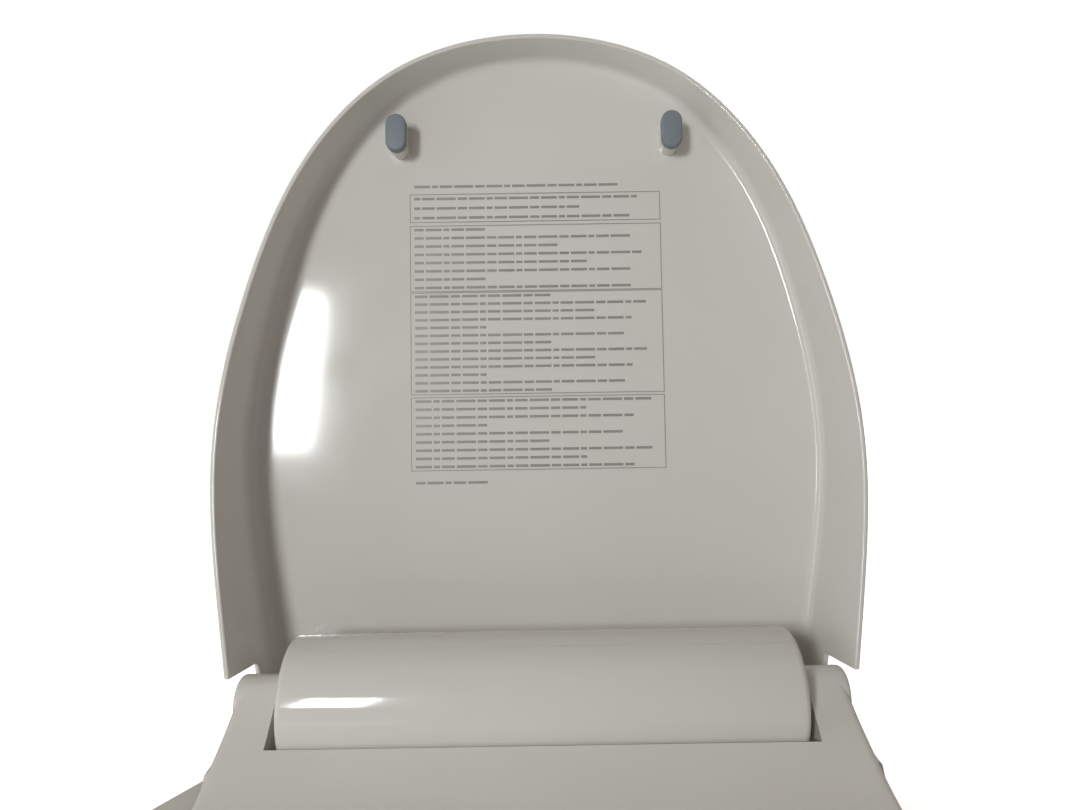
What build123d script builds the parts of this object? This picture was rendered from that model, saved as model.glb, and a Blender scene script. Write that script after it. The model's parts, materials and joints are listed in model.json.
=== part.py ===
"""Electric bidet seat, modelled as on the bench: lid, heated seat, main unit and side control panel.

Frame: X across the bowl (the side panel is at -X), -Y towards the front of the bowl, Z up.
The origin is midway between the two mounting bolts, on the plane of the bowl's rim.
The lid stands open and the seat is down. Millimetres.
"""
from build123d import *
from math import cos, sin, radians, sqrt
import os

# ---- hinge line ----
hinge_y = -38.0  # the lid and the seat turn on one line
hinge_z = 101.0
pin_r = 5.0
running_gap = 0.08  # between a pin and what turns on it

# ---- lid ----
lid_reach = 416.5  # hinge line to tip, along the panel
lid_lean = 10.0  # degrees that the open panel leans back from upright
lid_slope = 13.7  # degrees that the closed panel falls towards the tip
lid_depth = 52.0  # hinge line to the panel's inner face
lid_wall = 3.0
lid_tail = 14.0  # panel behind the hinge line
rim_at_hinge = -18.0  # height of the rim's edge over the hinge line, at the hinge
rim_at_tip = 25.0  # the same at the tip
lid_corner_r = 10.0
lid_draft = 9.0  # how far the walls lean in from rim to panel
tab_thick = 3.5
tab_r = 12.0
bumper_x = 90.0
bumper_reach = 353.0
bumper_pad = 6.0
bumper_w = 12.0
bumper_len = 23.0

# the lid's outline: shares of its reach from the hinge line, and the half width there
lid_stations = [(0.94, 92.0), (0.776, 151.4), (0.6, 178.6), (0.351, 194.5), (0.13, 185.4), (0.0, 176.5)]
seat_root_half = 177.4  # replaces the last half width on the seat, whose arms stand flush with the lid
wall_start = 17.5  # the side walls begin this far from the hinge line, clear of the seat's arms
wall_start_depth = 22.0  # and beyond this depth they run on behind the arms

# ---- seat ----
seat_gap = 2.6  # between the lid's wall and the seat's edge
knuckle_half = 176.2  # outside of the round ends of the seat's arms
arm_r = 16.0
arm_gap = 5.0  # between the barrel's end and a seat arm
seat_wall = 3.0
seat_under = 14.0  # underside of the ring over the bowl
seat_front_top = 44.0
seat_hole_half = 106.0
seat_hole_rear = -134.0
seat_hole_front = -386.0
heater_thick = 0.6
# a hollow under the seat's rear slope, seen from the side: underside, rear of the slope, top of the arm
seat_hollow = [(-112, -10), (-112, 68), (-82, 84), (-76, 78), (-64, 55), (-64, -10)]
hollow_start = 18.0  # half of the web between the two hollows
nozzle_channel = (30.0, 24.0)
foot_r = 9.0

# ---- hinge cover, the barrel between the seat's arms ----
barrel_r = 38.0
barrel_half = 146.0
barrel_wall = 2.5
sweep_gap = 1.5  # between the barrel and the seat's edge

# ---- case ----
case_half = 190.0
case_rear = 58.0
case_front = -108.0
case_floor = 3.5
case_deck = 72.0
case_split = 30.0
case_wall = 2.5
case_corner_r = 12.0
case_edge_r = 1.8
case_knee_z = 15.0  # where the front wall turns into the slope

# ---- mounting ----
bolt_spacing = 140.0
bolt_r = 4.0
bolt_hang = 72.0
neck_side = 8.6
plate_thick = 3.0
plate_half = 96.0
plate_front = -34.0
plate_rear = 34.0

# ---- nozzle ----
nozzle_tilt = 21.0
nozzle_r = 6.5
nozzle_len = 118.0
nozzle_gap = 0.5
nozzle_exit = (-104.0, 17.0)  # Y and Z of the nozzle's line at the front wall
nozzle_x = 0.0
guide_wall = 2.0

# ---- side panel ----
panel_inner = -case_half - 9.0
panel_outer = panel_inner - 76.0
panel_mid = (panel_inner + panel_outer) / 2
panel_front = -300.0
panel_rear = -88.0
panel_root = -30.0
panel_top = 50.0
panel_split = panel_top - 18.0
panel_under = panel_top - 42.0
panel_wall = 2.5
button_gap = 0.4
button_rise = 2.2
button_travel = 1.2

# ---- water and power ----
inlet_r = 10.4775  # G1/2 thread, outside
inlet_len = 14.0
gland_r = 6.0
board_thick = 1.6

# ---- inside the side panel ----
board_z = panel_top - 14.0  # the panel board's underside
switch_high = 3.0
key_free = 1.6  # between a key's stem and its switch
lens_place = (panel_mid + 4, -110.0)
lens_size = (30.0, 6.0)

lean = radians(lid_lean)
slope = radians(lid_slope)

# local X = across, local -Y = towards the tip, local Z = out through the lid's back
lid_plane = Plane(origin=(0, hinge_y, hinge_z), x_dir=(1, 0, 0), z_dir=(0, cos(lean), -sin(lean)))
hinge_plane = Plane(origin=(0, hinge_y, hinge_z), x_dir=(0, 1, 0), z_dir=(1, 0, 0))
nozzle_dir = (0, -cos(radians(nozzle_tilt)), -sin(radians(nozzle_tilt)))
nozzle_plane = Plane(
    origin=(nozzle_x, nozzle_exit[0], nozzle_exit[1]),
    x_dir=(1, 0, 0),
    z_dir=(0, -nozzle_dir[1], -nozzle_dir[2]),
)
os.makedirs("parts", exist_ok=True)


def save(piece, name):
    """Label a finished piece and write it to its own file."""
    piece.part.label = name
    export_step(piece.part, f"parts/{name}.step")


def lid_outline(inset, squeeze, y0, tail, root_half=lid_stations[-1][1]):
    """The lid's plan outline, moved in by inset: one smooth spline round the tip and a straight rear edge."""
    side = []
    for far, half in lid_stations[:-1] + [(0.0, root_half)]:
        nose = max(0.0, (far - 0.35) / 0.65) ** 2  # share of the inset that acts along the lid
        side.append((half - inset * sqrt(1 - nose**2), y0 - far * lid_reach * squeeze + inset * nose))
    tip = (0, y0 - lid_reach * squeeze + inset)
    left = [(-x, y) for x, y in reversed(side)]
    with BuildSketch() as outline:
        with BuildLine():
            edge = Spline(*left, tip, *side)
            Polyline(
                edge @ 1,
                ((edge @ 1).X, y0 + tail),
                ((edge @ 0).X, y0 + tail),
                edge @ 0,
            )
        make_face()
    return outline.sketch


# =====================================================================
# Lid
# =====================================================================
def lid_core(inset, back):
    """The lid's block: its outline drawn in from rim to back, rounded in steps where wall meets panel."""
    corner = lid_corner_r - inset
    start = rim_at_hinge - 20
    with BuildPart() as core:
        with BuildSketch(lid_plane.offset(start)):
            add(lid_outline(inset - lid_draft / 3, 1, 0, lid_tail + (5 if inset else 0)))
        for turn in (0, 30, 60, 90):
            rise = corner * sin(radians(turn))
            draw = corner * (1 - cos(radians(turn)))
            with BuildSketch(lid_plane.offset(back - corner + rise)):
                add(lid_outline(inset + lid_draft / 2 + draw, 1, 0, lid_tail + (5 if inset else 0)))
        loft(ruled=True)
    return core.part


def make_lid():
    with BuildPart() as lid:
        add(lid_core(0, lid_depth + lid_wall))
        add(lid_core(lid_wall, lid_depth), mode=Mode.SUBTRACT)
        # the rim's edge rises from the hinge to the tip
        with BuildSketch(Plane(origin=lid_plane.origin, x_dir=-lid_plane.y_dir, z_dir=(-1, 0, 0))):
            with BuildLine():
                Polyline(
                    (-60, rim_at_hinge - 60),
                    (lid_reach + 20, rim_at_hinge - 60),
                    (lid_reach + 20, rim_at_tip),
                    (0, rim_at_hinge),
                    (-60, rim_at_hinge),
                    close=True,
                )
            make_face()
        extrude(amount=220, both=True, mode=Mode.SUBTRACT)
        # the side walls stop short of the seat's arms
        with BuildSketch(Plane(origin=lid_plane.origin, x_dir=-lid_plane.y_dir, z_dir=(-1, 0, 0))):
            with Locations((wall_start - 50, wall_start_depth - 50)):
                Rectangle(100, 100)
        extrude(amount=220, both=True, mode=Mode.SUBTRACT)
        # hinge tabs, in the gaps beside the barrel
        for side in (-1, 1):
            inner = barrel_half + (arm_gap - tab_thick) / 2
            with BuildSketch(Plane(origin=lid_plane.origin, x_dir=-lid_plane.y_dir, z_dir=(-1, 0, 0)).offset(-side * inner if side > 0 else inner)):
                Circle(tab_r)
                with Locations((8, lid_depth / 2)):
                    Rectangle(2 * tab_r + 16, lid_depth + lid_wall / 2)
                Circle(pin_r + running_gap, mode=Mode.SUBTRACT)
            extrude(amount=-side * tab_thick)
        # pedestals that carry the bumpers
        with BuildSketch(lid_plane.offset(lid_depth + lid_wall / 2)):
            for side in (-1, 1):
                with Locations(Location((side * bumper_x, -bumper_reach), 90)):
                    SlotOverall(bumper_len, bumper_w)
        extrude(amount=-(lid_wall / 2 + bumper_post()))
    save(lid, "lid_shell")
    with BuildPart() as pads:
        with BuildSketch(lid_plane.offset(lid_depth - bumper_post())):
            for side in (-1, 1):
                with Locations(Location((side * bumper_x, -bumper_reach), 90)):
                    SlotOverall(bumper_len + 1.6, bumper_w + 1.6)
        extrude(amount=-bumper_pad)
        fillet(pads.faces().sort_by(Axis.Y)[0:2].edges(), 1.2)
    save(pads, "lid_bumpers")


def bumper_post():
    """Height of a bumper's pedestal: panel down to the seat, less the pad and a small gap."""
    panel_z = hinge_z + lid_depth * cos(slope) - bumper_reach * sin(slope)
    return (panel_z - seat_top_at(hinge_y - bumper_reach * cos(slope) - 12)) / cos(slope) - bumper_pad - 2.6


# =====================================================================
# Seat
# =====================================================================
seat_crown = [(-77.0, 92.5), (-101.0, 77.5), (-150.0, 62.0), (-250.0, 50.0)]


def seat_front():
    return hinge_y - lid_reach * cos(slope) + lid_wall + seat_gap


def seat_top_at(y):
    """Height of the seat's top at a distance along the bowl, read between the crown's points."""
    points = seat_crown + [(seat_front(), seat_front_top)]
    for (ya, za), (yb, zb) in zip(points, points[1:]):
        if yb <= y <= ya:
            return za + (zb - za) * (ya - y) / (ya - yb)
    return seat_front_top


def crown_block():
    """The seat seen from the side, drawn through from edge to edge: crown on top, underside below."""
    beyond = seat_front() - 12
    arm_top = (hinge_y - arm_r * cos(radians(50)), hinge_z + arm_r * sin(radians(50)))
    with BuildPart() as block:
        with BuildSketch(Plane.YZ):
            with BuildLine():
                crown = Spline(arm_top, *seat_crown, (beyond, seat_front_top), tangents=[(-0.77, -0.64), (-1, 0)])
                Polyline(
                    crown @ 1,
                    (beyond, seat_under),
                    (-112.0, seat_under),
                    (hinge_y - 17, hinge_z - 18),
                    (hinge_y, hinge_z - arm_r),
                    (hinge_y, hinge_z),
                    crown @ 0,
                )
            make_face()
        extrude(amount=220, both=True)
    return block.part


def ring_plan(inset, rear):
    """Plan of the seat ring, moved in from its edges by inset, as far back as rear."""
    with BuildSketch() as plan:
        add(lid_outline(lid_wall + seat_gap + inset, cos(slope), hinge_y, 22, seat_root_half))
        with Locations((0, (seat_hole_rear + seat_hole_front) / 2)):
            Ellipse(seat_hole_half + inset, (seat_hole_rear - seat_hole_front) / 2 + inset, mode=Mode.SUBTRACT)
        with Locations((0, rear + 100)):
            Rectangle(600, 200, mode=Mode.SUBTRACT)
    return plan.sketch


def ring_block(sketch, floor_z, height):
    with BuildPart() as block:
        with BuildSketch(Plane.XY.offset(floor_z)):
            add(sketch)
        extrude(amount=height)
    return block.part


def make_seat():
    front = seat_front()
    cavity_rear = -150.0
    with BuildPart() as cavity:
        with BuildSketch(Plane.YZ):
            with BuildLine():
                pts = [(cavity_rear, seat_top_at(cavity_rear) - seat_wall)]
                pts += [(y, z - seat_wall) for y, z in seat_crown if y < cavity_rear]
                pts += [(front - 12, seat_front_top - seat_wall)]
                Polyline(*pts, (front - 12, seat_under - 5), (cavity_rear, seat_under - 5), close=True)
            make_face()
        extrude(amount=220, both=True)
        add(ring_block(ring_plan(seat_wall, cavity_rear), seat_under - 5, 100), mode=Mode.INTERSECT)
    with BuildPart() as seat:
        add(crown_block())
        add(ring_block(ring_plan(0, 100), 0, 200), mode=Mode.INTERSECT)
        with BuildSketch(hinge_plane.offset(-knuckle_half)):
            Circle(arm_r)
        extrude(amount=2 * knuckle_half)
        # the barrel's notch
        with BuildSketch(hinge_plane.offset(-barrel_half - arm_gap)):
            Circle(barrel_r + sweep_gap)
            with Locations((60, 0)):
                Rectangle(120, 2 * (barrel_r + sweep_gap))
        extrude(amount=2 * (barrel_half + arm_gap), mode=Mode.SUBTRACT)
        add(cavity.part, mode=Mode.SUBTRACT)
        # hollows under the slope, and the channel that the nozzle passes through
        for side in (-1, 1):
            with BuildSketch(Plane.YZ.offset(hollow_start if side > 0 else -barrel_half)):
                with BuildLine():
                    Polyline(*seat_hollow, close=True)
                make_face()
            extrude(amount=barrel_half - hollow_start, mode=Mode.SUBTRACT)
        with BuildSketch(nozzle_plane.offset(-60)):
            Rectangle(*nozzle_channel)
        extrude(amount=80, mode=Mode.SUBTRACT)
        # bushes' seats in the arms
        with BuildSketch(hinge_plane.offset(-half_arm() + 4)):
            Circle(pin_r + 2)
        extrude(amount=2 * half_arm() - 8, mode=Mode.SUBTRACT)
    save(seat, "seat_top")
    with BuildPart() as under:
        with BuildSketch(Plane.XY.offset(seat_under)):
            add(ring_plan(seat_wall + 0.2, cavity_rear - 0.2))
        extrude(amount=seat_wall)
    save(under, "seat_bottom")
    with BuildPart() as heater:
        with BuildSketch(Plane.YZ):
            with BuildLine():
                low = seat_wall + 0.3
                pts = [(cavity_rear - 8, seat_top_at(cavity_rear - 8))]
                pts += [(y, z) for y, z in seat_crown if y < cavity_rear - 8]
                pts += [(front + 10, seat_front_top)]
                Polyline(
                    *[(y, z - low) for y, z in pts],
                    *[(y, z - low - heater_thick) for y, z in reversed(pts)],
                    close=True,
                )
            make_face()
        extrude(amount=220, both=True)
        add(ring_block(ring_plan(seat_wall + 9, cavity_rear - 8), 0, 120), mode=Mode.INTERSECT)
    save(heater, "seat_heater")
    with BuildPart() as feet:
        with BuildSketch(Plane.XY):
            with Locations((-128, -182), (128, -182), (-95, -352), (95, -352)):
                SlotOverall(30, 2 * foot_r)
        extrude(amount=seat_under)
        fillet(feet.faces().group_by(Axis.Z)[0].edges(), 2)
    save(feet, "seat_feet")
    with BuildPart() as bushes:
        for side in (-1, 1):
            start = barrel_half + arm_gap if side > 0 else -half_arm() + 4
            with BuildSketch(hinge_plane.offset(start)):
                Circle(pin_r + 2)
                Circle(pin_r + running_gap, mode=Mode.SUBTRACT)
            extrude(amount=half_arm() - 4 - barrel_half - arm_gap)
    save(bushes, "seat_hinge_bushes")


def half_arm():
    """Outside of the seat's arms."""
    return seat_root_half - lid_wall - seat_gap


# =====================================================================
# Hinge line inside the barrel
# =====================================================================
def make_hinge():
    with BuildPart() as cover:
        with BuildSketch(hinge_plane.offset(-barrel_half)):
            Circle(barrel_r)
        extrude(amount=2 * barrel_half)
        fillet(cover.edges().filter_by(GeomType.CIRCLE), 4)
        with BuildSketch(hinge_plane.offset(-barrel_half + barrel_wall + 0.5)):
            Circle(barrel_r - barrel_wall)
        extrude(amount=2 * (barrel_half - barrel_wall - 0.5), mode=Mode.SUBTRACT)
        with BuildSketch(hinge_plane.offset(-barrel_half - 5)):
            Circle(pin_r)
            with Locations((0, case_deck - hinge_z - 25)):
                Rectangle(120, 50)
        extrude(amount=2 * barrel_half + 10, mode=Mode.SUBTRACT)
    save(cover, "hinge_cover")

    with BuildPart() as pins:
        for side in (-1, 1):
            far = half_arm() - 4.3
            near = 86
            with BuildSketch(hinge_plane.offset(near if side > 0 else -far)):
                Circle(pin_r)
            extrude(amount=far - near)
    save(pins, "hinge_pins")

    # each bracket is an upright with a bore that holds a pin, on a foot on the deck
    with BuildPart() as brackets:
        for x in (-118, 112):
            with BuildSketch(hinge_plane.offset(x)):
                Circle(pin_r + 5)
                with Locations((0, (case_deck - hinge_z) / 2)):
                    Rectangle(2 * (pin_r + 5), hinge_z - case_deck)
                Circle(pin_r, mode=Mode.SUBTRACT)
            extrude(amount=6)
            with BuildSketch(Plane.XY.offset(case_deck)):
                with Locations((x + 3, hinge_y)):
                    Rectangle(22, 36)
            extrude(amount=3)
    save(brackets, "hinge_brackets")

    for name, side in (("lid_damper", -1), ("seat_damper", 1)):
        with BuildPart() as damper:
            with BuildSketch(hinge_plane.offset(28 if side > 0 else -86)):
                Circle(13)
            extrude(amount=58)
            with BuildSketch(hinge_plane.offset(82 if side > 0 else -86)):
                Circle(16)
                with Locations((0, (case_deck - hinge_z) / 2)):
                    Rectangle(20, hinge_z - case_deck)
            extrude(amount=4)
        save(damper, name)


# =====================================================================
# Case and mounting
# =====================================================================
def case_core(inset):
    """The main unit's block: flat floor and deck, upright rear, and a sloping front under the seat."""
    with BuildPart() as core:
        with BuildSketch(Plane.YZ):
            with BuildLine():
                Polyline(
                    (case_rear, case_floor),
                    (case_rear, case_deck),
                    (hinge_y - 24, case_deck),
                    (case_front, case_knee_z),
                    (case_front, case_floor),
                    close=True,
                )
            make_face()
            if inset:
                offset(amount=-inset, kind=Kind.INTERSECTION)
        extrude(amount=case_half - inset, both=True)
        fillet(core.edges().filter_by(Axis.Z).group_by(Axis.Y)[-1], case_corner_r - inset)
        if not inset:
            fillet(core.faces().sort_by(Axis.Z)[-1].edges(), case_edge_r)
    return core.part


def slab(z0, z1):
    with BuildPart() as block:
        with BuildSketch(Plane.XY.offset(z0)):
            Rectangle(900, 900)
        extrude(amount=z1 - z0)
    return block.part


def make_case():
    filter_cut = Plane(origin=(case_half, filter_y, filter_z), x_dir=(0, 1, 0), z_dir=(1, 0, 0))
    with BuildPart() as base:
        add(case_core(0))
        add(case_core(case_wall), mode=Mode.SUBTRACT)
        add(slab(-20, case_split), mode=Mode.INTERSECT)
        with BuildSketch(nozzle_plane.offset(-40)):
            Circle(nozzle_r + guide_wall + 0.6)
        extrude(amount=70, mode=Mode.SUBTRACT)
        # bosses for the case screws
        with BuildSketch(Plane.XY.offset(case_floor)):
            with Locations(*screw_places):
                Circle(5)
        extrude(amount=case_split - case_floor)
        with BuildSketch(Plane.XY.offset(case_floor)):
            with Locations(*screw_places):
                Circle(1.8)
        extrude(amount=case_split, mode=Mode.SUBTRACT)
        with BuildSketch(Plane.XY):
            with Locations((inlet_x, inlet_y)):
                Circle(inlet_r + 1.5)
        extrude(amount=20, mode=Mode.SUBTRACT)
        with BuildSketch(Plane.XZ.offset(-case_rear - 5)):
            with Locations((gland_x, gland_z)):
                Circle(gland_r)
        extrude(amount=20, mode=Mode.SUBTRACT)
    save(base, "base_case")

    with BuildPart() as upper:
        add(case_core(0))
        add(case_core(case_wall), mode=Mode.SUBTRACT)
        add(slab(case_split, 200), mode=Mode.INTERSECT)
        with BuildSketch(nozzle_plane.offset(-40)):
            Circle(nozzle_r + guide_wall + 0.6)
        extrude(amount=70, mode=Mode.SUBTRACT)
        with BuildSketch(filter_cut.offset(-case_wall - 2)):
            Rectangle(filter_w + 1, filter_h + 1)
        extrude(amount=case_wall + 4, mode=Mode.SUBTRACT)
        with BuildSketch(Plane(origin=(-case_half, release_y, release_z), x_dir=(0, 1, 0), z_dir=(-1, 0, 0)).offset(-case_wall - 2)):
            Circle(release_r + button_gap)
        extrude(amount=case_wall + 4, mode=Mode.SUBTRACT)
    save(upper, "upper_case")

    with BuildPart() as screws:
        with BuildSketch(Plane.XY.offset(case_floor + 1)):
            with Locations(*screw_places):
                Circle(1.7)
        extrude(amount=16)
        with BuildSketch(Plane.XY.offset(case_floor - 1.6)):
            with Locations(*screw_places):
                Circle(3.2)
        extrude(amount=1.6)
        with BuildSketch(Plane.XY.offset(case_floor)):
            with Locations(*screw_places):
                Circle(1.7)
        extrude(amount=1)
    save(screws, "case_screws")

    with BuildPart() as pads:
        with BuildSketch(Plane.XY):
            with Locations((-120, 46), (120, 46), (-165, -90), (165, -90)):
                SlotOverall(26, 14)
        extrude(amount=case_floor)
        fillet(pads.faces().group_by(Axis.Z)[0].edges(), 1)
    save(pads, "base_feet")


def make_mounting():
    with BuildPart() as plate:
        with BuildSketch():
            with Locations((0, (plate_front + plate_rear) / 2)):
                RectangleRounded(2 * plate_half, plate_rear - plate_front, 8)
            with Locations((-bolt_spacing / 2, 0), (bolt_spacing / 2, 0)):
                Rectangle(neck_side + 0.4, neck_side + 0.4, mode=Mode.SUBTRACT)
        extrude(amount=plate_thick)
    save(plate, "mount_plate")
    with BuildPart() as bolts:
        with BuildSketch(Plane.XY.offset(-bolt_hang)):
            with Locations((-bolt_spacing / 2, 0), (bolt_spacing / 2, 0)):
                Circle(bolt_r)
        extrude(amount=bolt_hang)
        with BuildSketch():
            with Locations((-bolt_spacing / 2, 0), (bolt_spacing / 2, 0)):
                Rectangle(neck_side, neck_side)
        extrude(amount=plate_thick)
        chamfer(bolts.faces().group_by(Axis.Z)[0].edges(), 0.8)
    save(bolts, "mount_bolts")


# =====================================================================
# Inside the case
# =====================================================================
inside_floor = case_floor + case_wall
screw_x = case_half - 12
screw_places = [(-screw_x, 42), (screw_x, 42), (-screw_x, -60), (screw_x, -60), (4, 46), (52, 46)]
filter_y, filter_z, filter_w, filter_h = 8.0, 52.0, 46.0, 20.0
release_y, release_z, release_r = 0.0, 50.0, 7.0
inlet_x, inlet_y = -150.0, 22.0
gland_x, gland_z = 130.0, 18.0


def make_nozzle():
    bore = nozzle_r + nozzle_gap
    with BuildPart() as guide:
        with BuildSketch(nozzle_plane.offset(3)):
            Circle(bore + guide_wall)
            Circle(bore, mode=Mode.SUBTRACT)
        extrude(amount=nozzle_len - 8)
        # two uprights that carry the guide on the floor
        for back in (30, 96):
            y = nozzle_exit[0] + back * cos(radians(nozzle_tilt))
            z = nozzle_exit[1] + back * sin(radians(nozzle_tilt))
            with BuildSketch(Plane.XY.offset(inside_floor)):
                with Locations((nozzle_x, y)):
                    Rectangle(14, 5)
            extrude(amount=z - bore - 1.8 - inside_floor)
    save(guide, "nozzle_guide")

    with BuildPart() as nozzle:
        with BuildSketch(nozzle_plane.offset(12)):
            Circle(nozzle_r)
            Circle(2.5, mode=Mode.SUBTRACT)
        extrude(amount=nozzle_len - 12)
    save(nozzle, "wash_nozzle")
    with BuildPart() as tip:
        with BuildSketch(nozzle_plane.offset(2)):
            Circle(nozzle_r - 0.1)
        extrude(amount=10)
        fillet(tip.faces().sort_by(Axis.Y)[0].edges(), 2.5)
        with BuildSketch(Plane(origin=nozzle_plane.origin, x_dir=(1, 0, 0), z_dir=nozzle_plane.y_dir)):
            with Locations((-1.8, -7), (1.8, -7), (0, -9.6)):
                Circle(0.6)
        extrude(amount=10, mode=Mode.SUBTRACT)
    save(tip, "nozzle_tip")
    with BuildPart() as drive:
        with BuildSketch(nozzle_plane.offset(60)):
            with Locations((bore + guide_wall + 0.3 + 15, 0)):
                RectangleRounded(30, 26, 3)
        extrude(amount=34)
    save(drive, "nozzle_drive")


def make_water():
    with BuildPart() as tank:
        with BuildSketch(Plane.XY.offset(inside_floor)):
            with Locations((-100, 5)):
                RectangleRounded(60, 76, 10)
        extrude(amount=50)
        fillet(tank.faces().sort_by(Axis.Z)[-1].edges(), 6)
    save(tank, "heater_tank")
    with BuildPart() as valve:
        with BuildSketch(Plane.XY.offset(inside_floor)):
            with Locations((inlet_x, inlet_y)):
                RectangleRounded(28, 28, 3)
        extrude(amount=26)
        with BuildSketch(Plane.XY.offset(inside_floor + 26)):
            with Locations((inlet_x, inlet_y)):
                Circle(9)
        extrude(amount=18)
    save(valve, "solenoid_valve")
    with BuildPart() as inlet:
        with BuildSketch(Plane.XY.offset(case_floor - inlet_len)):
            with Locations((inlet_x, inlet_y)):
                Circle(inlet_r)
                Circle(5, mode=Mode.SUBTRACT)
        extrude(amount=inlet_len)
        with BuildSketch(Plane.XY.offset(case_floor)):
            with Locations((inlet_x, inlet_y)):
                Circle(inlet_r + 1.3)
                Circle(5, mode=Mode.SUBTRACT)
        extrude(amount=case_wall)
    save(inlet, "water_inlet")
    with BuildPart() as pump:
        with BuildSketch(Plane.YZ.offset(-62)):
            with Locations((32, 22)):
                Circle(14)
            with Locations((32, (22 + inside_floor) / 2)):
                Rectangle(20, 22 - inside_floor)
        extrude(amount=40)
    save(pump, "water_pump")
    ends = (
        [(inlet_x, inlet_y, 50.3), (inlet_x, inlet_y, 62), (-110, inlet_y, 62), (-110, inlet_y, inside_floor + 50.3)],
        [(-30, 32, 36.3), (-30, 32, 53.5), (-30, -7, 53.5), (-9.6, -7, 53.5)],
        [(-69.7, 32, 22), (-62.3, 32, 22)],
    )
    with BuildPart() as hoses:
        for places in ends:
            with BuildLine() as route:
                if len(places) > 2:
                    FilletPolyline(*places, radius=5.5)
                else:
                    Line(*places)
            with BuildSketch(Plane(origin=route.line @ 0, z_dir=route.line % 0)):
                Circle(4)
            sweep(path=route.line)
    save(hoses, "water_hoses")


def make_power():
    with BuildPart() as board:
        with BuildSketch(Plane.XZ.offset(-50)):
            with Locations((100, 48)):
                Rectangle(110, 34)
        extrude(amount=-board_thick)
        for x in (60, 140):
            with BuildSketch(Plane.XZ.offset(-50 - board_thick)):
                with Locations((x, 48)):
                    Circle(3)
            extrude(amount=-(case_rear - case_wall - 50 - board_thick))
    save(board, "main_board")
    with BuildPart() as bits:
        with BuildSketch(Plane.XZ.offset(-50)):
            with Locations((64, 44), (84, 44)):
                Rectangle(15, 18)
            with Locations((112, 50), (126, 50)):
                Circle(5)
        extrude(amount=13)
    save(bits, "board_components")
    with BuildPart() as supply:
        with BuildSketch(Plane.XY.offset(inside_floor)):
            with Locations((80, 8)):
                RectangleRounded(48, 44, 3)
        extrude(amount=34)
    save(supply, "power_supply")
    with BuildPart() as gland:
        with BuildSketch(Plane.XZ.offset(-case_rear + case_wall + 4)):
            with Locations((gland_x, gland_z)):
                Circle(gland_r)
                Circle(3.6, mode=Mode.SUBTRACT)
        extrude(amount=-(case_wall + 4))
        for back, depth, r in ((-case_rear, 7, gland_r + 3), (-case_rear + case_wall + 3, 3, gland_r + 3)):
            with BuildSketch(Plane.XZ.offset(back)):
                with Locations((gland_x, gland_z)):
                    Circle(r)
                    Circle(3.6, mode=Mode.SUBTRACT)
            extrude(amount=-depth)
    save(gland, "cord_gland")


fan_x, fan_y = case_half - 45.0, -14.0


def make_air():
    with BuildPart() as housing:
        with BuildSketch(Plane.XY.offset(inside_floor)):
            with Locations((fan_x, fan_y)):
                RectangleRounded(56, 56, 6)
        extrude(amount=30)
        with BuildSketch(Plane.XY.offset(inside_floor + 3)):
            with Locations((fan_x, fan_y)):
                Circle(24)
        extrude(amount=24, mode=Mode.SUBTRACT)
        with BuildSketch(Plane.XY.offset(inside_floor + 20)):
            with Locations((fan_x, fan_y)):
                Circle(15)
        extrude(amount=20, mode=Mode.SUBTRACT)
        # rails that carry the filter cartridge
        with BuildSketch(Plane.XY.offset(inside_floor + 30)):
            for y in (filter_y - filter_w / 2 + 4, filter_y):
                with Locations((fan_x, y)):
                    Rectangle(50, 5)
        extrude(amount=filter_z - filter_h / 2 - 0.3 - inside_floor - 30)
    save(housing, "fan_housing")
    with BuildPart() as wheel:
        with BuildSketch(Plane.XY.offset(inside_floor + 7)):
            with Locations((fan_x, fan_y)):
                Circle(21)
        extrude(amount=2)
        with BuildSketch(Plane.XY.offset(inside_floor + 9)):
            with Locations((fan_x, fan_y)):
                Circle(5)
                with PolarLocations(16, 12):
                    Rectangle(8, 1.6)
        extrude(amount=14)
        with BuildSketch(Plane.XY.offset(inside_floor + 3.3)):
            with Locations((fan_x, fan_y)):
                Circle(4)
        extrude(amount=4)
    save(wheel, "fan_wheel")
    with BuildPart() as cartridge:
        with BuildSketch(Plane(origin=(case_half, filter_y, filter_z), x_dir=(0, 1, 0), z_dir=(1, 0, 0)).offset(-50)):
            RectangleRounded(filter_w, filter_h, 2)
        extrude(amount=50)
        with BuildSketch(Plane(origin=(case_half, filter_y, filter_z), x_dir=(0, 1, 0), z_dir=(1, 0, 0)).offset(0.3)):
            RectangleRounded(filter_w + 6, filter_h + 4, 3)
        extrude(amount=2)
        with BuildSketch(Plane(origin=(case_half, filter_y, filter_z), x_dir=(0, 1, 0), z_dir=(1, 0, 0))):
            Rectangle(filter_w - 6, filter_h - 6)
        extrude(amount=0.3)
    save(cartridge, "filter_cartridge")
    with BuildPart() as release:
        side = Plane(origin=(-case_half, release_y, release_z), x_dir=(0, 1, 0), z_dir=(-1, 0, 0))
        with BuildSketch(side.offset(-case_wall - 0.3)):
            Circle(release_r)
        extrude(amount=case_wall + 0.3 + 2.5)
        fillet(release.faces().sort_by(Axis.X)[0].edges(), 1)
        with BuildSketch(side.offset(-case_wall - 2.3)):
            Circle(release_r + 2)
        extrude(amount=2)
        with BuildSketch(side.offset(-case_wall - 8)):
            Circle(2.5)
        extrude(amount=6)
    save(release, "release_button")


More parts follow.
